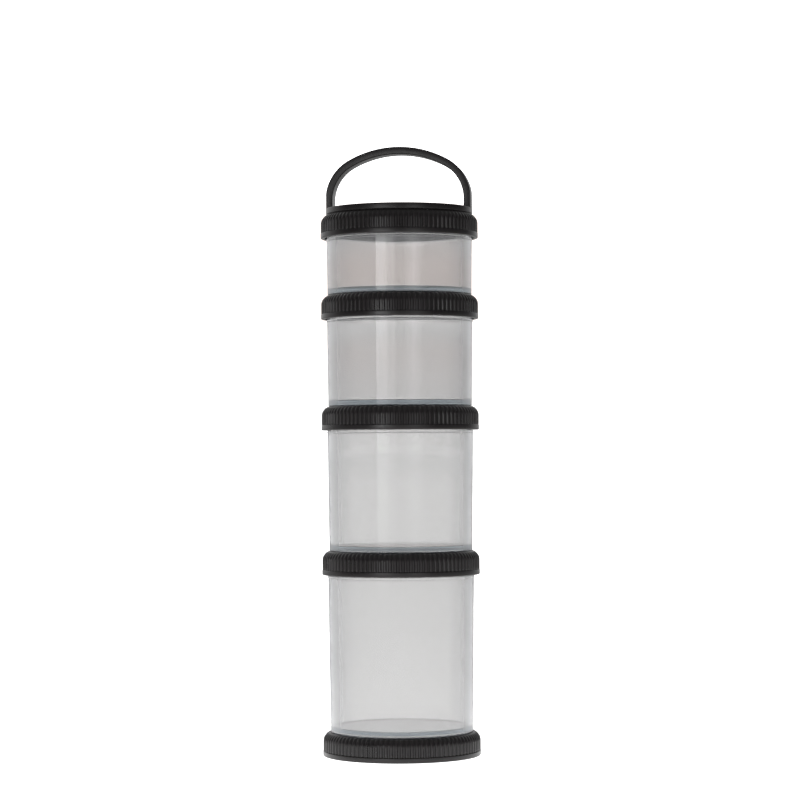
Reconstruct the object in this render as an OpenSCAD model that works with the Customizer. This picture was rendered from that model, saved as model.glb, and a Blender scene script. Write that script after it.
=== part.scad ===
// Stacking formula dispenser: four cups that screw onto one another, a lid and a carry handle.
// Millimetres. The tower stands on its bottom ring at z = 0 and the handle lies in the XZ plane.

/* [Tiers] */
// Height of the bottom tier, from its ring's lip to the next ring's lip
bottom_h = 79.9; // [60:0.1:120]
// Height of the lower tier
lower_h = 64; // [48:0.1:100]
// Height of the upper tier
upper_h = 49.3; // [38:0.1:80]
// Height of the top tier
top_h = 35.9; // [30:0.1:60]

/* [Cups] */
// Outer diameter of a cup's neck, under the thread
neck_d = 64.2; // [56:0.2:80]
// Length of neck inside the ring above
neck_h = 7.8; // [7.4:0.1:10]
// Wall of a cup
cup_wall = 1.2; // [1:0.1:1.6]
// Step from the neck out to the cup's body
body_step = 0.25; // [0.1:0.05:0.3]
// Draft of a cup's wall on each side, in degrees
cup_draft = 0.65; // [0:0.05:1]
// Height of the small bead that ends a cup's body under the ring
stop_bead_h = 1.1; // [0.8:0.1:1.6]
// How far that bead stands out
stop_bead_out = 0.15; // [0.05:0.05:0.3]
// Gap from that bead up to the lip of the ring above
bead_gap = 0.3; // [0.2:0.05:0.4]
// Thickness of a cup's floor
floor_t = 1.6; // [1.2:0.1:2]
// Height of a cup's floor above its ring
floor_rise = 2.4; // [1.7:0.1:4]
// Radius of the inner corner between wall and floor
floor_fillet = 0.6; // [0.4:0.1:3]
// Radius of the outer corner at the foot of a cup
foot_round = 1; // [0.6:0.1:1.4]

/* [Threads] */
// Number of thread starts
thread_starts = 3; // [2:1:4]
// Rise of the thread in one full turn
thread_lead = 12; // [10:0.5:13]
// Angle that one start wraps around the neck
thread_wrap = 80; // [60:1:84]
// Height of the thread, radially
thread_depth = 0.8; // [0.6:0.05:1]
// Width of the thread at its root
thread_root_w = 1.6; // [1.2:0.1:1.8]
// Width of the thread at its crest
thread_crest_w = 0.8; // [0.4:0.1:1]
// Radial gap from a crest to the facing wall
thread_gap = 0.3; // [0.2:0.05:0.4]
// Gap between the flanks of ring thread and neck thread
flank_gap = 0.4; // [0.3:0.05:0.6]
// Height of the lowest ring thread above the lip
thread_start_z = 1.1; // [1:0.1:1.2]

/* [Rings] */
// Skirt of a ring, from its bore to the valleys between ribs
skirt_t = 1.1; // [0.9:0.1:2]
// Web of a ring, which carries the cup
web_t = 1.5; // [1.3:0.1:3]
// Number of grip ribs
rib_count = 96; // [48:4:108]
// Height of a rib, radially
rib_depth = 0.6; // [0.3:0.05:0.9]
// Width of a rib at its root
rib_root_w = 1.35; // [0.9:0.05:1.6]
// Width of a rib at its tip
rib_tip_w = 0.75; // [0.4:0.05:0.9]
// Blunt end of the ribs, measured down from a ring's top
rib_end = 0.35; // [0.2:0.05:0.6]
// Height of the smooth lip under the ribs
lip_h = 2.3; // [1.5:0.1:3]
// How far the lip stands out past the ribs
lip_out = 0.1; // [0.05:0.05:0.3]
// Edge break on the lip
lip_edge = 0.25; // [0.1:0.05:0.4]
// Height of the shoulder over which the ribs lean in
shoulder_h = 3.7; // [3:0.1:4.2]
// Height of the shoulder's bend, measured down from a ring's top
bend_h = 1.8; // [1.2:0.1:2.4]
// How far that bend lies inside the rib tips
bend_in = 0.6; // [0.4:0.05:1]
// How far the ribs lean in up to a ring's top
crown_in = 2.3; // [1.8:0.05:2.6]
// Depth of the valleys between the ribs at a ring's top
crown_depth = 0.3; // [0.2:0.05:0.5]

/* [Seals] */
// Thickness of a seal
seal_t = 1.2; // [1:0.1:2]
// Radial gap around a seal
seal_gap = 0.5; // [0.4:0.05:0.6]
// Chamfer in the top corner of a seal's groove
groove_edge = 0.6; // [0.4:0.05:0.6]
// How far a seal reaches inside the neck
seal_reach = 0.6; // [0.3:0.1:0.9]
// Gap under the seal to the bead that keeps it in the ring
seal_drop = 0.2; // [0.1:0.05:0.3]

/* [Snap fit] */
// Gap from the neck's inside to the snap bead of the cup above
spigot_inset = 1.4; // [1.2:0.1:2]
// Wall of the spigot under a cup
spigot_wall = 1.3; // [1:0.1:1.6]
// How far the snap bead stands out
snap_out = 0.5; // [0.3:0.05:0.7]
// Length of spigot below the web
snap_l = 1; // [0.8:0.05:1.1]
// Lead-in at the spigot's tip
snap_lead = 0.3; // [0.2:0.05:0.5]
// Height of the snap bead
snap_h = 0.4; // [0.3:0.05:0.5]
// Gap in the snap fit and around the keys
fit_gap = 0.1; // [0.05:0.01:0.15]
// Width of the keys that stop a cup turning in its ring
key_w = 6; // [4:0.5:10]
// Reach of a key out past the spigot
key_reach = 1.8; // [1.4:0.1:1.9]

/* [Lid] */
// Height of the lid disc above its ring
lid_t = 2.8; // [1.8:0.1:4]
// How far the lid disc reaches past the top of its ring's shoulder
lid_over = 0.3; // [0.2:0.1:1]
// Edge break on the lid disc
lid_edge = 0.4; // [0.1:0.05:0.6]

/* [Handle] */
// Height of the handle above the lid disc
handle_h = 27.3; // [24:0.1:50]
// Height of the straight legs
handle_leg_h = 3.9; // [3:0.05:6]
// Depth of the handle, front to back
handle_depth = 9; // [8:0.1:16]
// Thickness of the legs
handle_leg_t = 3.2; // [2.4:0.1:3.6]
// Thickness of the arch at its top
handle_top_t = 3.25; // [2.6:0.05:4]
// Radius of the arch's outer shoulders
handle_shoulder_r = 20.2; // [14:0.1:20.4]
// Radius of the fillets inside the legs' feet
handle_fillet = 1; // [0.8:0.1:2]
// Thickness of the tenons under the legs
tenon_t = 1.2; // [1:0.1:1.3]

/* [Hidden] */
$fn = 120;

// Overlap that makes two shapes one solid, and how far a cutter passes what it cuts
join = 0.3;
past = 1;
// How far the flanks of the ribs go on inside a ring
rib_foot = 0.15;
// Edge break on rims, beads and seals
edge = 0.2;
// Segments of a quarter round in a profile
round_n = 6;
// Steps of one thread start, its height at its ends as a share, and how fast it swells with each step
thread_n = 16;
thread_end = 0.1;
thread_swell = 0.45;

// Heights of the tiers' lips above the ground
lower_z = bottom_h;
upper_z = lower_z + lower_h;
top_z = upper_z + upper_h;
lid_z = top_z + top_h;

// A ring's levels, measured from its lip
seal_z = neck_h;
web_z = seal_z + seal_t;
ring_h = web_z + web_t;
shoulder_z = ring_h - shoulder_h;
bend_z = ring_h - bend_h;

// Radii, from the neck outwards
neck_r = neck_d / 2;
mouth_r = neck_r - cup_wall;
body_r = neck_r + body_step;
bore_r = neck_r + thread_depth + thread_gap;
valley_r = bore_r + skirt_t;
rib_r = valley_r + rib_depth;
lip_r = rib_r + lip_out;
bend_r = rib_r - bend_in;
bend_depth = crown_depth + (rib_depth - crown_depth) * bend_h / shoulder_h;
crown_r = rib_r - crown_in;
shoulder_top_r = crown_r - crown_depth;
lid_r = shoulder_top_r + lid_over;

// Seal and the bead that keeps it
seal_r = bore_r - seal_gap;
seal_in_r = mouth_r - seal_reach;
keep_r = neck_r + thread_gap;
keep_z = seal_z - seal_drop;
keep_land = 0.4;
keep_h = 1.3;

// Spigot under each cup and under the lid disc
snap_r = mouth_r - spigot_inset;
spigot_r = snap_r - snap_out;
spigot_in_r = spigot_r - spigot_wall;
web_hole_r = spigot_r + fit_gap;
key_x = spigot_r + key_reach;

// Tenons of the handle, out to the keys' reach
tenon_out = key_x;
tenon_in = tenon_out - tenon_t;

// Threads
thread_rise = thread_lead * thread_wrap / 360;
thread_mid_w = (thread_root_w + thread_crest_w) / 2;
neck_thread_z = thread_start_z + thread_mid_w + flank_gap;

// Colours
black_plastic = [0.13, 0.125, 0.13];
hazy_plastic = [0.86, 0.87, 0.87, 0.55];
silicone = [0.8, 0.8, 0.78];

// Points of an arc around c, from angle a to angle b
function arc(c, r, a, b, n = round_n) =
  [for (i = [0 : n]) c + r * [cos(a + (b - a) * i / n), sin(a + (b - a) * i / n)]];

// Radius of the top arc of a three-centred arch of half width w and rise h, with shoulders of radius r
function arch_top_r(w, h, r) = (pow(w - r, 2) + h * h - r * r) / (2 * (h - r));

// Points of such an arch from its right springing over to the left one, springing at height z
function arch(w, h, r, z) =
  let (
    top_r = arch_top_r(w, h, r),
    low = z + h - top_r,
    a = atan2(z - low, w - r)
  )
  concat(
    arc([w - r, z], r, 0, a, 10),
    arc([0, low], top_r, a, 180 - a, 16),
    arc([r - w, z], r, 180 - a, 180, 10)
  );

// Corner points of one thread start's section, at step i
function thread_section(root, crest, z, i) =
  let (
    a = thread_wrap * i / thread_n,
    mid = z + thread_rise * i / thread_n,
    full = min(1, thread_end + thread_swell * min(i, thread_n - i)),
    tip = root + (crest - root) * full,
    foot = root + (root - crest) / thread_depth * join,
    w = thread_root_w / 2,
    v = thread_crest_w / 2
  )
  [
    for (p = [[foot, -w], [tip, -v], [tip, v], [foot, w]])
      [p[0] * cos(a), p[0] * sin(a), mid + p[1]]
  ];

// One thread start from radius root to radius crest, its middle starting at height z
module thread_start(root, crest, z) {
  points = [for (i = [0 : thread_n]) each thread_section(root, crest, z, i)];
  last = 4 * thread_n;
  sides = [
    for (i = [0 : thread_n - 1], j = [0 : 3])
      let (a = 4 * i + j, b = 4 * i + (j + 1) % 4)
      each [[a, b, a + 4], [b, b + 4, a + 4]]
  ];
  ends = [[2, 1, 0], [3, 2, 0], [last, last + 1, last + 2], [last, last + 2, last + 3]];
  turned = [for (f = concat(sides, ends)) crest > root ? f : [f[2], f[1], f[0]]];
  polyhedron(points, turned);
}

// All thread starts, spread around the axis
module threads(root, crest, z)
  for (i = [0 : thread_starts - 1])
    rotate(360 * i / thread_starts)
      thread_start(root, crest, z);

// Outside of a ring between its ribs, from the axis out
module ring_outside()
  polygon([
    [0, 0],
    [lip_r - lip_edge, 0],
    [lip_r, lip_edge],
    [lip_r, lip_h - lip_edge],
    [lip_r - lip_edge, lip_h],
    [valley_r, lip_h],
    [valley_r, shoulder_z],
    [bend_r - bend_depth, bend_z],
    [shoulder_top_r, ring_h],
    [0, ring_h]
  ]);

// Space inside a ring: the bore, the bead that keeps the seal, the seal's groove and the hole in the web
module ring_inside()
  polygon([
    [0, -past],
    [bore_r + lip_edge, -past],
    [bore_r + lip_edge, 0],
    [bore_r, lip_edge],
    [bore_r, keep_z - keep_h],
    [keep_r, keep_z - keep_land],
    [keep_r, keep_z],
    [bore_r, keep_z],
    [bore_r, web_z - groove_edge],
    [bore_r - groove_edge, web_z],
    [web_hole_r, web_z],
    [web_hole_r, ring_h + past],
    [0, ring_h + past]
  ]);

// Corner of rib i at radius r and width w, on side s
function rib_corner(i, r, w, s) =
  let (a = 360 * i / rib_count + s * asin(w / 2 / r))
  r * [cos(a), sin(a)];

// Outline of a ring through its ribs, with valleys that lie inside the ring
module rib_outline() {
  foot_w = rib_root_w + (rib_root_w - rib_tip_w) * rib_foot / rib_depth;
  polygon([
    for (i = [0 : rib_count - 1])
      each [
        rib_corner(i, neck_r, foot_w, -1),
        rib_corner(i, valley_r - rib_foot, foot_w, -1),
        rib_corner(i, rib_r, rib_tip_w, -1),
        rib_corner(i, rib_r, rib_tip_w, 1),
        rib_corner(i, valley_r - rib_foot, foot_w, 1),
        rib_corner(i, neck_r, foot_w, 1)
      ]
  ]);
}

// Ribs from inside the lip up to just under a ring's top, leaning in over the shoulder in two slopes
module ribs() {
  low = lip_h - join;
  lean = bend_in / (shoulder_h - bend_h);
  intersection() {
    translate([0, 0, low])
      linear_extrude(ring_h - rib_end - low)
        rib_outline();
    rotate_extrude()
      polygon([
        [0, 0],
        [bend_r + bend_z * lean, 0],
        [bend_r, bend_z],
        [crown_r, ring_h],
        [0, ring_h]
      ]);
  }
}

// Two blocks at +X and -X, from radius a to radius b
module key_pair(a, b, w, low, high)
  for (side = [0, 180])
    rotate(side)
      translate([a, -w / 2, low])
        cube([b - a, w, high - low]);

// One twist ring, its lip at height z
module twist_ring(z)
  color(black_plastic)
    translate([0, 0, z]) {
      difference() {
        union() {
          rotate_extrude()
            ring_outside();
          ribs();
        }
        rotate_extrude()
          ring_inside();
        key_pair(spigot_r - past, key_x + fit_gap, key_w + 2 * fit_gap, web_z - join, ring_h + past);
      }
      threads(bore_r, bore_r - thread_depth, thread_start_z);
    }

// Section of the spigot that snaps through a ring's web, from its inner foot up to the seat
function spigot_points() = [
  [spigot_in_r, web_z - snap_l],
  [spigot_r - snap_lead, web_z - snap_l],
  [snap_r, web_z - fit_gap - snap_h],
  [snap_r, web_z - 2 * fit_gap],
  [spigot_r, web_z - fit_gap],
  [spigot_r, ring_h]
];

// Radius of a cup's body at height z above its ring's lip, in a tier of height h
function body_at(z, h) = body_r - (h - z) * tan(cup_draft);

// Radius of a cup's inside at height z
function inside_at(z, h) = mouth_r - (h + neck_h - z) * tan(cup_draft);

// Section of a cup in a tier of height h
module cup_section(h) {
  foot_r = body_at(ring_h + foot_round, h);
  floor_z = ring_h + floor_rise;
  bead_r = body_r + stop_bead_out;
  bead_top = h - bead_gap;
  bead_z = bead_top - stop_bead_h;
  rim_z = h + neck_h;
  wall_r = inside_at(floor_z + floor_fillet, h);
  polygon(concat(
    spigot_points(),
    arc([foot_r - foot_round, ring_h + foot_round], foot_round, -90, 0),
    [
      [body_at(bead_z, h), bead_z],
      [bead_r, bead_z + edge],
      [bead_r, bead_top - edge],
      [bead_r - edge, bead_top],
      [neck_r, bead_top],
      [neck_r, rim_z - edge],
      [neck_r - edge, rim_z],
      [mouth_r + edge, rim_z],
      [mouth_r, rim_z - edge]
    ],
    arc([wall_r - floor_fillet, floor_z + floor_fillet], floor_fillet, 0, -90),
    [[0, floor_z], [0, floor_z - floor_t], [spigot_in_r, floor_z - floor_t]]
  ));
}

// One cup in a tier of height h whose ring's lip is at height z
module cup(z, h)
  color(hazy_plastic)
    translate([0, 0, z]) {
      rotate_extrude()
        cup_section(h);
      threads(neck_r, neck_r + thread_depth, h + neck_thread_z);
      key_pair(spigot_r - spigot_wall / 2, key_x, key_w, web_z + fit_gap, ring_h + join);
    }

// One seal in the ring whose lip is at height z
module seal(z)
  color(silicone)
    translate([0, 0, z + seal_z])
      rotate_extrude()
        polygon([
          [seal_in_r, edge],
          [seal_in_r + edge, 0],
          [seal_r - edge, 0],
          [seal_r, edge],
          [seal_r, seal_t - edge],
          [seal_r - edge, seal_t],
          [seal_in_r + edge, seal_t],
          [seal_in_r, seal_t - edge]
        ]);

module bottom_ring() twist_ring(0);

module bottom_cup() cup(0, bottom_h);

module bottom_seal() seal(0);

module lower_ring() twist_ring(lower_z);

module lower_cup() cup(lower_z, lower_h);

module lower_seal() seal(lower_z);

module upper_ring() twist_ring(upper_z);

module upper_cup() cup(upper_z, upper_h);

module upper_seal() seal(upper_z);

module top_ring() twist_ring(top_z);

module top_cup() cup(top_z, top_h);

module top_seal() seal(top_z);

module lid_ring() twist_ring(lid_z);

module lid_seal() seal(lid_z);

module lid_disc() {
  top = ring_h + lid_t;
  color(black_plastic)
    translate([0, 0, lid_z])
      difference() {
        rotate_extrude()
          polygon(concat(
            spigot_points(),
            [
              [lid_r - lid_edge, ring_h],
              [lid_r, ring_h + lid_edge],
              [lid_r, top - lid_edge],
              [lid_r - lid_edge, top],
              [0, top],
              [0, top - floor_t],
              [spigot_in_r, top - floor_t]
            ]
          ));
        key_pair(tenon_in - fit_gap, tenon_out + fit_gap, key_w + 2 * fit_gap, ring_h - past, top + past);
      }
}

// Outline of the handle's arch with its filleted feet, standing on z = 0
module handle_outline() {
  outer_h = handle_h - handle_leg_h;
  inner_w = lid_r - handle_leg_t;
  inner_h = outer_h - handle_top_t;
  inner_r = handle_shoulder_r - handle_top_t;
  f = handle_fillet;
  difference() {
    polygon(concat(
      [[lid_r, 0]],
      arch(lid_r, outer_h, handle_shoulder_r, handle_leg_h),
      [[-lid_r, 0]]
    ));
    polygon(concat(
      [[inner_w - f, -past]],
      arc([inner_w - f, f], f, -90, 0),
      arch(inner_w, inner_h, inner_r, handle_leg_h),
      arc([f - inner_w, f], f, 180, 270),
      [[f - inner_w, -past]]
    ));
  }
}

module carry_handle() {
  top = ring_h + lid_t;
  color(black_plastic)
    translate([0, 0, lid_z]) {
      intersection() {
        translate([0, handle_depth / 2, top])
          rotate([90, 0, 0])
            linear_extrude(handle_depth)
              handle_outline();
        translate([0, 0, top - past])
          cylinder(r = lid_r, h = handle_h + 2 * past);
      }
      key_pair(tenon_in, tenon_out, key_w, web_z + fit_gap, top + join);
    }
}

bottom_ring();
bottom_cup();
bottom_seal();
lower_ring();
lower_cup();
lower_seal();
upper_ring();
upper_cup();
upper_seal();
top_ring();
top_cup();
top_seal();
lid_ring();
lid_disc();
lid_seal();
carry_handle();
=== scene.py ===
from math import atan2, ceil, cos, degrees, hypot, pi, radians, sin, sqrt, tan

import bmesh
import bpy
from mathutils import Matrix, Vector


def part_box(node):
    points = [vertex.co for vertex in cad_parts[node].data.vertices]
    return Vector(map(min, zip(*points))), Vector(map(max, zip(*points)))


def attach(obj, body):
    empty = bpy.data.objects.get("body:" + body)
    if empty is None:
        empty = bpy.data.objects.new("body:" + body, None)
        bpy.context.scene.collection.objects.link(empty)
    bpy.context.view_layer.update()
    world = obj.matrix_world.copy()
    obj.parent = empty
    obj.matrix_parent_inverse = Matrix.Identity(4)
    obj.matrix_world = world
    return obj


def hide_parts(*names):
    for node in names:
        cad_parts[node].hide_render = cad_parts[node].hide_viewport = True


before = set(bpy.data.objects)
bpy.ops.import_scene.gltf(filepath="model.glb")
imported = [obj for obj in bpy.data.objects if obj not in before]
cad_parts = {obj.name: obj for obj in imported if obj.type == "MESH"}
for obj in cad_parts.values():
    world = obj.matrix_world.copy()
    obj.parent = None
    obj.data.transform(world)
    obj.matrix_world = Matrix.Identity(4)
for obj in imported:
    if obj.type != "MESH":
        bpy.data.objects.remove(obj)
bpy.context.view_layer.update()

scene = bpy.context.scene
MM = 0.001

# Tiers from the ground up: name of the tier and of the body that its cup and ring ride on.
TIERS = [("bottom", "bottom_tier"), ("lower", "lower_tier"), ("upper", "upper_tier"), ("top", "top_tier")]
# Body that each seal rides on.
SEAL_BODIES = {
    "bottom": "bottom_tier",
    "lower": "lower_washer",
    "upper": "upper_washer",
    "top": "top_washer",
    "lid": "lid_washer",
}

# Sizes in millimetres, as the solids have them.
LIP_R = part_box("bottom_ring")[1].x / MM
LIP_H = 2.3
LIP_OUT = 0.1
RIB_COUNT = 96
RIB_DEPTH = 0.6
# Half widths of a rib at its crest and its foot, as shares of the spacing.
RIB_CREST = 0.15
RIB_FOOT = 0.33
RING_WALL = 1.1
THREAD_GAP = 1.1
NECK_WALL = 1.2
NECK_STEP = 0.25
RIB_R = LIP_R - LIP_OUT
VALLEY_R = RIB_R - RIB_DEPTH
BORE_R = VALLEY_R - RING_WALL
NECK_R = BORE_R - THREAD_GAP
MOUTH_R = NECK_R - NECK_WALL
BODY_R = NECK_R + NECK_STEP
RING_H = 10.5
SHOULDER_Z = 6.5
SHOULDER_IN = 2.4
SHOULDER_CURVE = 2.2
CROWN_DEPTH = 0.3
CROWN_R = 32.3
WEB_Z = 9.0
SEAL_Z = 7.8
SEAL_T = 1.2
SPIGOT_R = 29.0
SNAP_R = 29.5
SPIGOT_IN_R = 27.7
NECK_H = 7.8
CUP_DRAFT = radians(0.65)
FOOT_ROUND = 1.0
RIM_ROUND = 0.35
BEAD_DROP = 1.4
BEAD_OUT = 0.15
BEAD_GAP = 0.3
FLOOR_RISE = 2.4
FLOOR_Z = RING_H + FLOOR_RISE
FLOOR_T = 1.6
FLOOR_FILLET = 0.6
SEAL_R = 32.7
SEAL_IN_R = 30.3
LID_R = 32.6
LID_T = 2.8
LID_RIM = 1.6
LID_DISH = 0.12
GATE_R = 3.0
GATE_DEPTH = 0.3
HANDLE_DEPTH = 9.0
LEG_T = 3.2
LEG_H = 3.9
HANDLE_H = 27.3
ARCH_T = 3.25
ARCH_SHOULDER_R = 20.2
FOOT_FILLET = 1.0
HANDLE_EDGE = 0.5
# Faces along each shoulder of the arch, over its crown, round a foot's fillet and front to back.
SHOULDER_STEPS = 14
CROWN_STEPS = 24
FILLET_STEPS = 6
DEPTH_STEPS = 4
# Three-start thread: rise in a whole turn, length of one start in degrees, depth, half widths at root and
# crest, run-out at both ends in degrees, and where the first start begins in a ring and on a neck.
THREAD_LEAD = 12.0
THREAD_WRAP = 80.0
THREAD_DEPTH = 0.8
THREAD_ROOT = 0.8
THREAD_CREST = 0.4
THREAD_RUN_OUT = 9.0
RING_THREAD_Z = 1.1
NECK_THREAD_Z = 2.7
# Heights above the underside of a ring between which its bore, and the neck inside it, are threaded.
RING_THREAD_SPAN = (0.28, 4.9)
NECK_THREAD_SPAN = (1.5, 6.6)
# A point this close to a face's radius lies on that face.
ON_FACE = 0.02
# Length of a cup's inner wall below its rim, and distance from the floor's corner, without rows of points.
MOUTH_SPAN = 22.0
CORNER_SPAN = 0.9
# Faces round a ring, which are a few for each rib, round a cup or the lid, and round a seal.
RING_COLUMNS = RIB_COUNT * 9
CUP_COLUMNS = 240
SEAL_COLUMNS = 180


def smooth_step(low, high, x):
    t = min(1.0, max(0.0, (x - low) / (high - low)))
    return t * t * (3 - 2 * t)


def rounded(corners, closed=True):
    """Points along a profile given as corners of (radius, height, rounding), all in millimetres."""
    line = []
    last = len(corners) - 1
    for i, (r, z, rounding) in enumerate(corners):
        here = Vector((r, z))
        if rounding == 0 or (not closed and i in (0, last)):
            line.append(here)
            continue
        back = Vector(corners[i - 1][:2]) - here
        on = Vector(corners[(i + 1) % len(corners)][:2]) - here
        half = back.angle(on) / 2
        reach = min(rounding / tan(half), 0.48 * back.length, 0.48 * on.length)
        start = here + back.normalized() * reach
        end = here + on.normalized() * reach
        centre = here + (back.normalized() + on.normalized()).normalized() * reach / cos(half)
        steps = max(2, ceil(degrees(pi - 2 * half) / 20))
        for k in range(steps + 1):
            spoke = start.lerp(end, k / steps) - centre
            line.append(centre + spoke.normalized() * reach * tan(half))
    return line


def spun(profile, columns, closed=True, shape=None):
    """A profile in millimetres turned round the tower's axis; shape moves the points of one third of it."""
    bm = bmesh.new()
    verts = [bm.verts.new((p.x * MM, 0, p.y * MM)) for p in profile]
    pairs = list(zip(verts, verts[1:]))
    if closed:
        pairs.append((verts[-1], verts[0]))
    edges = [bm.edges.new(pair) for pair in pairs]
    turn = {"cent": (0, 0, 0), "axis": (0, 0, 1), "dvec": (0, 0, 0), "use_merge": False}
    bmesh.ops.spin(
        bm, geom=verts + edges, angle=2 * pi / 3, steps=columns // 3, use_duplicate=False, **turn,
    )
    if shape:
        for vert in bm.verts:
            shape(vert)
    third = bm.verts[:] + bm.edges[:] + bm.faces[:]
    bmesh.ops.spin(bm, geom=third, angle=4 * pi / 3, steps=2, use_duplicate=True, **turn)
    bmesh.ops.remove_doubles(bm, verts=bm.verts, dist=1e-6)
    bmesh.ops.dissolve_degenerate(bm, edges=bm.edges, dist=1e-7)
    bmesh.ops.recalc_face_normals(bm, faces=bm.faces)
    return bm


def set_radius(vert, radius):
    """Moves a vertex straight out or in to a radius in millimetres."""
    scale = radius * MM / hypot(vert.co.x, vert.co.y)
    vert.co.x *= scale
    vert.co.y *= scale


def thread_height(angle, z):
    """Share of a thread's depth at an angle in degrees and a height above the middle of the first start."""
    along = angle % 120.0
    off = abs(z - THREAD_LEAD * along / 360.0)
    side = 1 - smooth_step(THREAD_CREST, THREAD_ROOT, off)
    start = smooth_step(0, THREAD_RUN_OUT, along)
    end = 1 - smooth_step(THREAD_WRAP - THREAD_RUN_OUT, THREAD_WRAP, along)
    return side * (start * end)


def angle_of(vert):
    return degrees(atan2(vert.co.y, vert.co.x))


def lifted(bm, z):
    """A copy of a mesh, raised by z."""
    copy = bm.copy()
    bmesh.ops.translate(copy, verts=copy.verts, vec=(0, 0, z))
    return copy


def piece_from(bm, node, body, material, sharp=38):
    """Hands a finished mesh over: it stands for its CAD node and rides on that node's body."""
    mesh = bpy.data.meshes.new(node)
    for face in bm.faces:
        face.smooth = True
    bm.normal_update()
    bm.to_mesh(mesh)
    bm.free()
    mesh.set_sharp_from_angle(angle=radians(sharp))
    mesh.materials.append(material)
    piece = bpy.data.objects.new("moulded_" + node, mesh)
    scene.collection.objects.link(piece)
    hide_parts(node)
    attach(piece, body)


# Materials


def linear(hex_colour):
    """An sRGB hex colour as linear RGBA."""
    parts = [int(hex_colour[i:i + 2], 16) / 255 for i in (1, 3, 5)]
    return tuple(p / 12.92 if p <= 0.04045 else ((p + 0.055) / 1.055) ** 2.4 for p in parts) + (1.0,)


def add(tree, kind, inputs=None, **settings):
    """Adds a node; each input takes a value or another node's output."""
    made = tree.nodes.new(kind)
    for name, value in settings.items():
        setattr(made, name, value)
    for name, value in (inputs or {}).items():
        if isinstance(value, bpy.types.NodeSocket):
            tree.links.new(value, made.inputs[name])
        else:
            made.inputs[name].default_value = value
    return made


def new_material(name):
    material = bpy.data.materials.new(name)
    material.use_nodes = True
    return material, material.node_tree, material.node_tree.nodes["Principled BSDF"]


def per_metre(size_mm):
    """Noise scale whose features are about this many millimetres across."""
    return 1 / (size_mm * MM)


def moulded_black_polypropylene():
    # Black polypropylene, injection moulded in a lightly eroded steel tool: a deep black with a low satin
    # gloss, a fine pebble grain, duller patches where hands grip it, and paler rib tips and edges that are
    # partly rubbed and partly a painted highlight along the ribs.
    material, tree, shader = new_material("moulded_black_polypropylene")
    place = add(tree, "ShaderNodeTexCoord").outputs["Object"]
    # Real grain is near 0.1 mm; it is drawn at 0.45 mm so that it shows.
    grain = add(tree, "ShaderNodeTexNoise", {"Vector": place, "Scale": per_metre(0.45), "Detail": 2.0})
    patch = add(tree, "ShaderNodeTexNoise", {"Vector": place, "Scale": per_metre(14), "Detail": 3.0})
    edge = add(tree, "ShaderNodeMapRange", {
        "Value": add(tree, "ShaderNodeNewGeometry").outputs["Pointiness"],
        "From Min": 0.505, "From Max": 0.56, "To Min": 0.0, "To Max": 1.0,
    })
    # Rib tips and edges are painted paler: partly rubbing, partly a painted highlight where the ribs catch
    # the light.
    rub_and_highlight = add(tree, "ShaderNodeMath", {
        0: edge.outputs["Result"], 1: patch.outputs["Fac"],
    }, operation="MULTIPLY")
    colour = add(tree, "ShaderNodeMix", {
        "Factor": rub_and_highlight.outputs["Value"], "A": linear("#191617"), "B": linear("#332e2f"),
    }, data_type="RGBA")
    dull = add(tree, "ShaderNodeMapRange", {
        "Value": patch.outputs["Fac"], "From Min": 0.3, "From Max": 0.7, "To Min": 0.26, "To Max": 0.37,
    })
    bump = add(tree, "ShaderNodeBump", {
        "Height": grain.outputs["Fac"], "Strength": 0.25, "Distance": 0.03 * MM,
    })
    shader.inputs["IOR"].default_value = 1.49
    tree.links.new(colour.outputs["Result"], shader.inputs["Base Color"])
    tree.links.new(dull.outputs["Result"], shader.inputs["Roughness"])
    tree.links.new(bump.outputs["Normal"], shader.inputs["Normal"])
    return material


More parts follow.
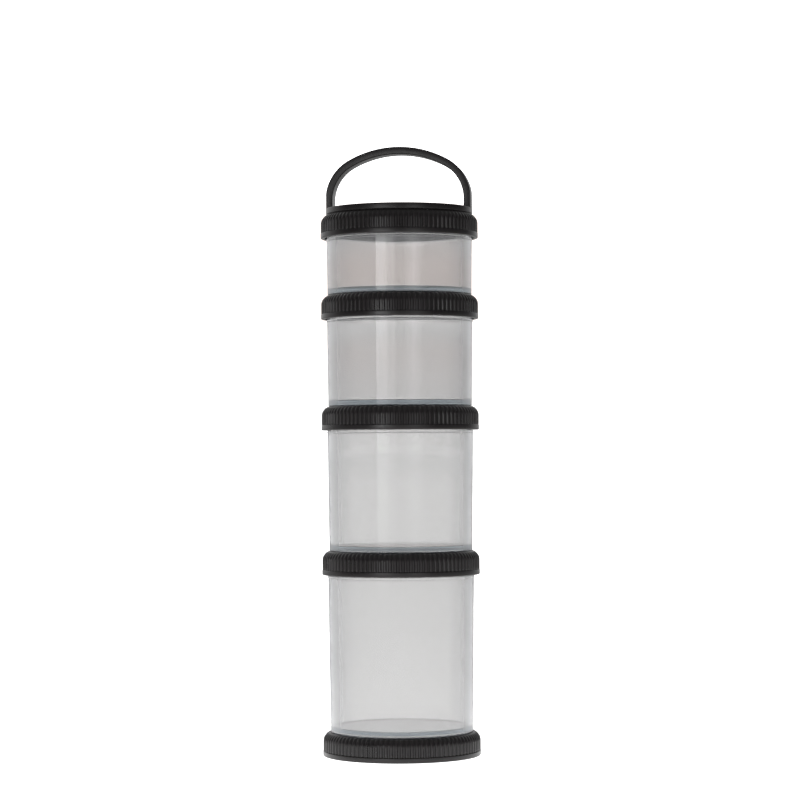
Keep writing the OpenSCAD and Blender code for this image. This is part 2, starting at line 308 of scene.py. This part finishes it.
def hazy_natural_polypropylene():
    # Uncoloured polypropylene, injection moulded: clear enough to show what is behind it, with a milky haze,
    # a soft gloss, and a faint waviness and flow marks from the filling of the tool.
    material, tree, shader = new_material("hazy_natural_polypropylene")
    place = add(tree, "ShaderNodeTexCoord").outputs["Object"]
    stretched = add(tree, "ShaderNodeMapping", {"Vector": place, "Scale": (1.0, 1.0, 0.35)})
    wave = add(tree, "ShaderNodeTexNoise", {
        "Vector": stretched.outputs["Vector"], "Scale": per_metre(9), "Detail": 1.5,
    })
    cloud = add(tree, "ShaderNodeTexNoise", {"Vector": place, "Scale": per_metre(22), "Detail": 3.0})
    dull = add(tree, "ShaderNodeMapRange", {
        "Value": cloud.outputs["Fac"], "From Min": 0.3, "From Max": 0.7, "To Min": 0.03, "To Max": 0.06,
    })
    bump = add(tree, "ShaderNodeBump", {
        "Height": wave.outputs["Fac"], "Strength": 0.1, "Distance": 0.1 * MM,
    })
    shader.inputs["Base Color"].default_value = linear("#dad9d8")
    shader.inputs["IOR"].default_value = 1.49
    shader.inputs["Transmission Weight"].default_value = 1.0
    tree.links.new(dull.outputs["Result"], shader.inputs["Roughness"])
    tree.links.new(bump.outputs["Normal"], shader.inputs["Normal"])
    # A long way inside the plastic, as in a cup's floor seen edge-on, swallows most of the light, red first.
    depth = add(tree, "ShaderNodeVolumeAbsorption", {"Color": linear("#226377"), "Density": 28.0})
    milk = add(tree, "ShaderNodeBsdfDiffuse", {"Color": linear("#d4d5d8")})
    # Where a wall curves away from view, light goes a longer way through it and comes back hazier.
    surface = add(tree, "ShaderNodeNewGeometry")
    normal = add(tree, "ShaderNodeSeparateXYZ", {"Vector": surface.outputs["Normal"]})
    level = add(tree, "ShaderNodeMath", {0: normal.outputs["Z"]}, operation="ABSOLUTE")
    upright = add(tree, "ShaderNodeMath", {0: 1.0, 1: level.outputs["Value"]}, operation="SUBTRACT")
    flat = add(tree, "ShaderNodeMath", {
        0: add(tree, "ShaderNodeLayerWeight", {"Blend": 0.5}).outputs["Facing"], 1: upright.outputs["Value"],
    }, operation="MULTIPLY")
    share = add(tree, "ShaderNodeMapRange", {
        "Value": flat.outputs["Value"], "From Min": 0.25, "From Max": 0.8, "To Min": 0.15, "To Max": 0.48,
    })
    hazy = add(tree, "ShaderNodeMixShader", {
        "Fac": share.outputs["Result"], 1: shader.outputs["BSDF"], 2: milk.outputs["BSDF"],
    })
    out = tree.nodes["Material Output"]
    tree.links.new(hazy.outputs["Shader"], out.inputs["Surface"])
    tree.links.new(depth.outputs["Volume"], out.inputs["Volume"])
    return material


def pressed_silicone():
    # Natural silicone rubber, compression moulded: an off-white, dull and slightly dusty washer.
    material, tree, shader = new_material("pressed_silicone")
    place = add(tree, "ShaderNodeTexCoord").outputs["Object"]
    dust = add(tree, "ShaderNodeTexNoise", {"Vector": place, "Scale": per_metre(1.2), "Detail": 4.0})
    colour = add(tree, "ShaderNodeMix", {
        "Factor": dust.outputs["Fac"], "A": linear("#d6d4cd"), "B": linear("#e6e4de"),
    }, data_type="RGBA")
    dull = add(tree, "ShaderNodeMapRange", {
        "Value": dust.outputs["Fac"], "From Min": 0.3, "From Max": 0.7, "To Min": 0.42, "To Max": 0.58,
    })
    shader.inputs["IOR"].default_value = 1.41
    tree.links.new(colour.outputs["Result"], shader.inputs["Base Color"])
    tree.links.new(dull.outputs["Result"], shader.inputs["Roughness"])
    return material


# Pieces


def rib_depth(z):
    """Depth of the valleys between a ring's ribs, at a height above its lip."""
    return RIB_DEPTH + (CROWN_DEPTH - RIB_DEPTH) * max(0.0, z - SHOULDER_Z) / (RING_H - SHOULDER_Z)


def valley_radius(z):
    """Outside of a ring between its ribs, which leans in over the shoulder."""
    lean = max(0.0, z - SHOULDER_Z) / (RING_H - SHOULDER_Z)
    return RIB_R - SHOULDER_IN * lean ** SHOULDER_CURVE - rib_depth(z)


def rib_height(angle, z):
    """How far a ring's outside stands out from its valleys, in millimetres."""
    off = abs((angle * RIB_COUNT / 360.0 + 0.5) % 1.0 - 0.5)
    across = 1 - smooth_step(RIB_CREST, RIB_FOOT, off)
    ends = smooth_step(LIP_H - 0.3, LIP_H + 0.2, z) * (1 - smooth_step(RING_H - 0.6, RING_H - 0.2, z))
    return rib_depth(z) * across * ends


def shape_ring(vert):
    """Raises the ribs on a ring's outside and the thread in its bore."""
    r = hypot(vert.co.x, vert.co.y) / MM
    z = vert.co.z / MM
    if z > LIP_H - 0.01 and abs(r - valley_radius(z)) < ON_FACE:
        set_radius(vert, r + rib_height(angle_of(vert), z))
    elif abs(r - BORE_R) < ON_FACE and RING_THREAD_SPAN[0] < z < RING_THREAD_SPAN[1]:
        set_radius(vert, r - THREAD_DEPTH * thread_height(angle_of(vert), z - RING_THREAD_Z))


def ring_mesh():
    """A twist ring with its lip at the ground."""
    rows = (2.5, 3.2, 4.4, 5.6, 6.5, 7.0, 7.4, 7.8, 8.2, 8.6, 9.0, 9.35, 9.65, 9.9, 10.05, 10.2, 10.35)
    thread_rows = [(BORE_R, 4.8 - 0.3 * k, 0) for k in range(16)]
    profile = rounded([
        (BORE_R, 0, 0.25),
        (LIP_R, 0, 0.45),
        (LIP_R, LIP_H, 0.25),
        (VALLEY_R, LIP_H, 0),
        *((valley_radius(z), z, 0) for z in rows),
        (CROWN_R, RING_H, 0.1),
        (SPIGOT_R + 0.1, RING_H, 0.15),
        (SPIGOT_R + 0.1, WEB_Z, 0.15),
        (BORE_R - 0.6, WEB_Z, 0.1),
        (BORE_R, WEB_Z - 0.6, 0.1),
        (BORE_R, SEAL_Z - 0.2, 0.1),
        (NECK_R + 0.3, SEAL_Z - 0.2, 0.1),
        (NECK_R + 0.3, SEAL_Z - 0.6, 0.1),
        (BORE_R, SEAL_Z - 1.5, 0.1),
        *thread_rows,
    ])
    return spun(profile, RING_COLUMNS, shape=shape_ring)


def spigot(at):
    """Corners of the snap-in collar under a cup or under the lid, from its inside round to its seat."""
    return [
        (SPIGOT_IN_R, at, 0.4),
        (SPIGOT_IN_R, WEB_Z - 1, 0.3),
        (SPIGOT_R - 0.3, WEB_Z - 1, 0.2),
        (SNAP_R, WEB_Z - 0.5, 0.1),
        (SNAP_R, WEB_Z - 0.2, 0.05),
        (SPIGOT_R, WEB_Z - 0.1, 0.05),
        (SPIGOT_R, RING_H, 0.05),
    ]


def cup_mesh(height):
    """A cup for a tier of this height, with its ring's lip at the ground."""
    foot_r = BODY_R - (height - RING_H - FOOT_ROUND) * tan(CUP_DRAFT)
    rim_z = height + NECK_H
    floor_r = MOUTH_R - (rim_z - FLOOR_Z) * tan(CUP_DRAFT)
    bead_z = height - BEAD_DROP
    neck_rows = [(NECK_R, height + 1.6 + 0.25 * k, 0) for k in range(20)]
    # Rows along the wall and close to its lower corners, so that their rounding doesn't bend its shading.
    # Near the mouth the inside has none, and is shaded as if it flared a little.
    low, high = RING_H + FOOT_ROUND, bead_z
    outer_rows = [
        (foot_r + (BODY_R - foot_r) * (z - low) / (high - low), z, 0)
        for z in (low + 0.3, *(low + (high - low) * k / 6 for k in range(1, 6)), high - 0.4)
    ]
    inner_rows = [
        (MOUTH_R - (rim_z - z) * tan(CUP_DRAFT), z, 0)
        for z in (rim_z - MOUTH_SPAN, (rim_z - MOUTH_SPAN + FLOOR_Z + 1) / 2, FLOOR_Z + CORNER_SPAN)
    ]
    profile = rounded([
        (0, FLOOR_Z - FLOOR_T, 0),
        (SPIGOT_IN_R - 0.8, FLOOR_Z - FLOOR_T, 0),
        *spigot(FLOOR_Z - FLOOR_T),
        (foot_r, RING_H, FOOT_ROUND),
        *outer_rows,
        (BODY_R - 0.01, bead_z, 0.2),
        (BODY_R + BEAD_OUT, bead_z + 0.2, 0.15),
        (BODY_R + BEAD_OUT, height - BEAD_GAP, 0.15),
        (NECK_R, height - BEAD_GAP, 0.12),
        *neck_rows,
        (NECK_R, rim_z, RIM_ROUND),
        (MOUTH_R, rim_z, RIM_ROUND),
        *inner_rows,
        (floor_r, FLOOR_Z, FLOOR_FILLET),
        (floor_r - CORNER_SPAN, FLOOR_Z, 0),
        (0, FLOOR_Z, 0),
    ], closed=False)

    def shape_neck(vert):
        z = vert.co.z / MM - height
        r = hypot(vert.co.x, vert.co.y) / MM
        if NECK_THREAD_SPAN[0] < z < NECK_THREAD_SPAN[1] and abs(r - NECK_R) < ON_FACE:
            set_radius(vert, r + THREAD_DEPTH * thread_height(angle_of(vert), z - NECK_THREAD_Z))

    return spun(profile, CUP_COLUMNS, closed=False, shape=shape_neck)


def seal_mesh():
    """A soft washer, lying on the ground."""
    return spun(rounded([
        (SEAL_IN_R, 0, 0.3),
        (SEAL_R, 0, 0.3),
        (SEAL_R, SEAL_T, 0.3),
        (SEAL_IN_R, SEAL_T, 0.3),
    ]), SEAL_COLUMNS)


def lid_mesh():
    """The lid's round plate, slightly dished inside its rim, with its ring's lip at the ground."""
    top = RING_H + LID_T
    profile = rounded([
        (0, top - FLOOR_T, 0),
        *spigot(top - FLOOR_T),
        (LID_R - 0.4, RING_H, 0.1),
        (LID_R, RING_H + 0.4, 0.3),
        (LID_R, top, 0.45),
        (LID_R - LID_RIM, top, 0.3),
        (LID_R - LID_RIM - 0.4, top - LID_DISH, 0.3),
        # The shallow round mark of the tool's gate.
        (GATE_R + 0.2, top - LID_DISH, 0.1),
        (GATE_R, top - GATE_DEPTH, 0.1),
        (0, top - GATE_DEPTH, 0),
    ], closed=False)
    return spun(profile, CUP_COLUMNS, closed=False)


def arch_line(half_width, rise, shoulder):
    """Points of a three-centred arch from its right springing over to the left one."""
    crown = ((half_width - shoulder) ** 2 + rise ** 2 - shoulder ** 2) / (2 * (rise - shoulder))
    low = rise - crown
    turn = atan2(-low, half_width - shoulder)
    side_turns = [turn * k / SHOULDER_STEPS for k in range(SHOULDER_STEPS)]
    right = [
        Vector((half_width - shoulder + shoulder * cos(a), shoulder * sin(a))) for a in side_turns
    ]
    top_turns = [turn + (pi - 2 * turn) * k / CROWN_STEPS for k in range(CROWN_STEPS + 1)]
    over = [Vector((crown * cos(a), low + crown * sin(a))) for a in top_turns]
    left = [Vector((-p.x, p.y)) for p in reversed(right)]
    return right + over + left


def handle_mesh(foot_z):
    """The arch that stands on the lid at this height in millimetres."""
    inner_w = LID_R - LEG_T
    # Both edges of the band from the right foot to the left one, the inner one with its filleted feet.
    flare = [radians(90 * k / FILLET_STEPS) for k in range(FILLET_STEPS)]
    fillet = [
        (inner_w - FOOT_FILLET + FOOT_FILLET * sin(a), FOOT_FILLET - FOOT_FILLET * cos(a)) for a in flare
    ]
    leg = [(LID_R, z) for _, z in fillet]
    outer_arch = [(p.x, p.y + LEG_H) for p in arch_line(LID_R, HANDLE_H - LEG_H, ARCH_SHOULDER_R)]
    inner_arch = [
        (p.x, p.y + LEG_H)
        for p in arch_line(inner_w, HANDLE_H - ARCH_T - LEG_H, ARCH_SHOULDER_R - ARCH_T)
    ]
    bm = bmesh.new()
    chains = []
    for foot, arch in ((leg, outer_arch), (fillet, inner_arch)):
        line = foot + arch + [(-x, z) for x, z in reversed(foot)]
        verts = [bm.verts.new((x * MM, -HANDLE_DEPTH / 2 * MM, (foot_z + z) * MM)) for x, z in line]
        chains += [bm.edges.new(pair) for pair in zip(verts, verts[1:])]
    bmesh.ops.bridge_loops(bm, edges=chains)
    # The band is drawn back in steps, so that its outer faces can follow the lid's round edge.
    front = bm.faces[:]
    for _ in range(DEPTH_STEPS):
        made = bmesh.ops.extrude_face_region(bm, geom=front, use_keep_orig=len(bm.faces) == len(front))
        front = [g for g in made["geom"] if isinstance(g, bmesh.types.BMFace)]
        moved = [g for g in made["geom"] if isinstance(g, bmesh.types.BMVert)]
        bmesh.ops.translate(bm, verts=moved, vec=(0, HANDLE_DEPTH / DEPTH_STEPS * MM, 0))
    bmesh.ops.recalc_face_normals(bm, faces=bm.faces)
    for vert in bm.verts:
        if hypot(vert.co.x, vert.co.y) > LID_R * MM:
            vert.co.x = (1 if vert.co.x > 0 else -1) * sqrt((LID_R * MM) ** 2 - vert.co.y ** 2)
    rims = [
        e for e in bm.edges
        if e.is_manifold and e.calc_face_angle() > radians(50)
        and max(v.co.z for v in e.verts) > (foot_z + 0.01) * MM
    ]
    bmesh.ops.bevel(
        bm, geom=rims, offset=HANDLE_EDGE * MM, offset_type="OFFSET", segments=4, profile=0.5,
        affect="EDGES", material=-1, clamp_overlap=True,
    )
    return bm


black = moulded_black_polypropylene()
haze = hazy_natural_polypropylene()
rubber = pressed_silicone()

ring = ring_mesh()
seal = seal_mesh()
for tier, body in [*TIERS, ("lid", "lid")]:
    lip_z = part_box(tier + "_ring")[0].z
    piece_from(lifted(ring, lip_z), tier + "_ring", body, black)
    piece_from(lifted(seal, lip_z + SEAL_Z * MM), tier + "_seal", SEAL_BODIES[tier], rubber)
    if tier != "lid":
        height = (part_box(tier + "_cup")[1].z - lip_z) / MM - NECK_H
        piece_from(lifted(cup_mesh(height), lip_z), tier + "_cup", body, haze)
lid_lip_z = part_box("lid_ring")[0].z
piece_from(lifted(lid_mesh(), lid_lip_z), "lid_disc", "lid", black)
arch = handle_mesh(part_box("lid_disc")[1].z / MM)
piece_from(arch, "carry_handle", "lid", black, sharp=30)


# Studio

VIEW_TURN = radians(8)
CAMERA_LENS = 117
CAMERA_REACH = 1.156
CAMERA_HEIGHT = 0.135
CAMERA_PITCH = radians(1.104)
CAMERA_ROLL = radians(-0.33)
CAMERA_SWING = radians(0.003)
TOWER_MIDDLE = Vector((0, 0, 0.15))
# Brightness of the paper where it is looked at: the floor, the room at the horizon, at the height of the top
# cups and above them.
FLOOR_WHITE = 1.69
HORIZON_WHITE = 1.84
CUP_WHITE = 1.52
HIGH_WHITE = 2.6


def around(turn, reach, height):
    """A place at a turn to the right of the camera's side of the tower."""
    side = VIEW_TURN + turn
    return Vector((sin(side) * reach, -cos(side) * reach, height))


def looked_at(tree):
    """One for rays from the camera, directly or through the cups, and zero for light and reflections."""
    ray = add(tree, "ShaderNodeLightPath")
    return add(tree, "ShaderNodeMath", {
        0: ray.outputs["Is Camera Ray"], 1: ray.outputs["Is Transmission Ray"],
    }, operation="MAXIMUM").outputs["Value"]


def photo_camera():
    data = bpy.data.cameras.new("photo_camera")
    data.sensor_width = 36
    data.lens = CAMERA_LENS
    data.clip_end = 50
    camera = bpy.data.objects.new("photo_camera", data)
    scene.collection.objects.link(camera)
    turn = Matrix.Rotation(VIEW_TURN + CAMERA_SWING, 4, "Z")
    pitch = Matrix.Rotation(pi / 2 + CAMERA_PITCH, 4, "X")
    roll = Matrix.Rotation(CAMERA_ROLL, 4, "Z")
    camera.matrix_world = Matrix.Translation(around(0, CAMERA_REACH, CAMERA_HEIGHT)) @ turn @ pitch @ roll
    scene.camera = camera


def strip_light(name, turn, reach, height, width, length, power, fade):
    """A tall soft box that faces the tower and is seen only in its light and its reflections.

    The stops of fade give its brightness across its width, from its left edge to its right one, and it is
    dimmer low down.
    """
    data = bpy.data.lights.new(name, "AREA")
    data.shape = "RECTANGLE"
    data.size = width
    data.size_y = length
    data.energy = power
    data.use_nodes = True
    tree = data.node_tree
    place = add(tree, "ShaderNodeSeparateXYZ", {
        "Vector": add(tree, "ShaderNodeNewGeometry").outputs["Parametric"],
    })
    ramp = add(tree, "ShaderNodeValToRGB", {"Fac": place.outputs["X"]})
    stops = ramp.color_ramp.elements
    while len(stops) < len(fade):
        stops.new(0.5)
    for stop, (across, level) in zip(stops, fade):
        stop.position = across
        stop.color = (level, level, level, 1)
    up = add(tree, "ShaderNodeMapRange", {
        "Value": place.outputs["Y"], "From Min": 0.0, "From Max": 0.85, "To Min": 0.2, "To Max": 1.0,
    })
    strength = add(tree, "ShaderNodeMath", {
        0: ramp.outputs["Color"], 1: up.outputs["Result"],
    }, operation="MULTIPLY")
    tree.links.new(strength.outputs["Value"], tree.nodes["Emission"].inputs["Strength"])
    light = bpy.data.objects.new(name, data)
    scene.collection.objects.link(light)
    light.location = around(turn, reach, height)
    aim = TOWER_MIDDLE - light.location
    light.rotation_euler = aim.to_track_quat("-Z", "Y").to_euler()
    light.visible_camera = False
    light.visible_transmission = False


def white_floor():
    bm = bmesh.new()
    bmesh.ops.create_grid(bm, x_segments=1, y_segments=1, size=12)
    mesh = bpy.data.meshes.new("white_floor")
    bm.to_mesh(mesh)
    bm.free()
    # Matt white paper sweep. It stays white to the camera, and lights the tower most from close by.
    material, tree, shader = new_material("matt_white_paper")
    place = add(tree, "ShaderNodeTexCoord").outputs["Object"]
    front = tuple(around(0, 0.15, 0))
    reach = add(tree, "ShaderNodeVectorMath", {0: place, 1: front}, operation="DISTANCE").outputs["Value"]
    glow = add(tree, "ShaderNodeMapRange", {
        "Value": reach, "From Min": 0.1, "From Max": 0.6, "To Min": 1.3, "To Max": 0.2,
    }, interpolation_type="SMOOTHSTEP").outputs["Result"]
    seen = looked_at(tree)
    strength = add(tree, "ShaderNodeMix", {"Factor": seen, "A": glow, "B": FLOOR_WHITE}).outputs["Result"]
    shader.inputs["Base Color"].default_value = linear("#f0f0ee")
    shader.inputs["Roughness"].default_value = 0.8
    shader.inputs["Emission Color"].default_value = linear("#ffffff")
    tree.links.new(strength, shader.inputs["Emission Strength"])
    mesh.materials.append(material)
    floor = bpy.data.objects.new("white_floor", mesh)
    scene.collection.objects.link(floor)


def white_room():
    # What the camera sees directly or through the cups is white, as bright as the floor at the horizon,
    # warmer and dimmer at the height of the top cups and brighter above them. What the surfaces reflect
    # is a room that is bright behind the tower, dim behind the camera and a little lit overhead.
    world = bpy.data.worlds.new("white_room")
    world.use_nodes = True
    scene.world = world
    tree = world.node_tree
    tree.nodes.clear()
    way = add(tree, "ShaderNodeTexCoord").outputs["Generated"]
    height = add(tree, "ShaderNodeSeparateXYZ", {"Vector": way}).outputs["Z"]
    ahead = tuple(-around(radians(12), 1, 0))
    along = add(tree, "ShaderNodeVectorMath", {0: way, 1: ahead}, operation="DOT_PRODUCT").outputs["Value"]
    depth = add(tree, "ShaderNodeMapRange", {
        "Value": along, "From Min": 0.2, "From Max": 0.9, "To Min": 0.06, "To Max": 0.8,
    }, interpolation_type="SMOOTHSTEP").outputs["Result"]
    overhead = add(tree, "ShaderNodeMapRange", {
        "Value": height, "From Min": 0.25, "From Max": 0.95, "To Min": 1.0, "To Max": 0.35,
    }, interpolation_type="SMOOTHSTEP").outputs["Result"]
    wall = add(tree, "ShaderNodeMath", {0: depth, 1: overhead}, operation="MULTIPLY").outputs["Value"]
    ceiling = add(tree, "ShaderNodeMapRange", {
        "Value": height, "From Min": 0.3, "From Max": 0.7, "To Min": 0.0, "To Max": 0.22,
    }).outputs["Result"]
    room = add(tree, "ShaderNodeMath", {0: wall, 1: ceiling}, operation="ADD").outputs["Value"]
    rise = add(tree, "ShaderNodeMapRange", {
        "Value": height, "From Min": 0.015, "From Max": 0.06, "To Min": 0.0, "To Max": 1.0,
    }).outputs["Result"]
    above = add(tree, "ShaderNodeMapRange", {
        "Value": height, "From Min": 0.088, "From Max": 0.1, "To Min": 0.0, "To Max": 1.0,
    }).outputs["Result"]
    warm = add(tree, "ShaderNodeMath", {0: rise, 1: above}, operation="SUBTRACT").outputs["Value"]
    paper = add(tree, "ShaderNodeMix", {
        "Factor": warm, "A": linear("#ffffff"), "B": linear("#fff3ee"),
    }, data_type="RGBA").outputs["Result"]
    seen = looked_at(tree)
    middle = add(tree, "ShaderNodeMapRange", {
        "Value": height, "From Min": 0.0, "From Max": 0.02, "To Min": HORIZON_WHITE, "To Max": CUP_WHITE,
    }).outputs["Result"]
    white = add(tree, "ShaderNodeMix", {"Factor": above, "A": middle, "B": HIGH_WHITE}).outputs["Result"]
    strength = add(tree, "ShaderNodeMix", {"Factor": seen, "A": room, "B": white}).outputs["Result"]
    tint = add(tree, "ShaderNodeMix", {
        "Factor": seen, "A": linear("#ffffff"), "B": paper,
    }, data_type="RGBA").outputs["Result"]
    back = add(tree, "ShaderNodeBackground", {"Color": tint, "Strength": strength})
    add(tree, "ShaderNodeOutputWorld", {"Surface": back.outputs["Background"]})


photo_camera()
strip_light(
    "left_strip", turn=radians(-21), reach=1.2, height=0.18, width=0.69, length=0.34, power=3.5,
    fade=[(0.0, 0.9), (0.2, 1.0), (0.45, 0.9), (0.65, 0.4), (0.85, 0.35), (1.0, 0.0)],
)
strip_light(
    "right_strip", turn=radians(22), reach=1.3, height=0.18, width=0.8, length=0.34, power=2.1,
    fade=[(0.0, 0.0), (0.3, 0.6), (0.5, 1.0), (0.7, 0.6), (1.0, 0.0)],
)
white_floor()
white_room()
scene.view_settings.view_transform = "Standard"
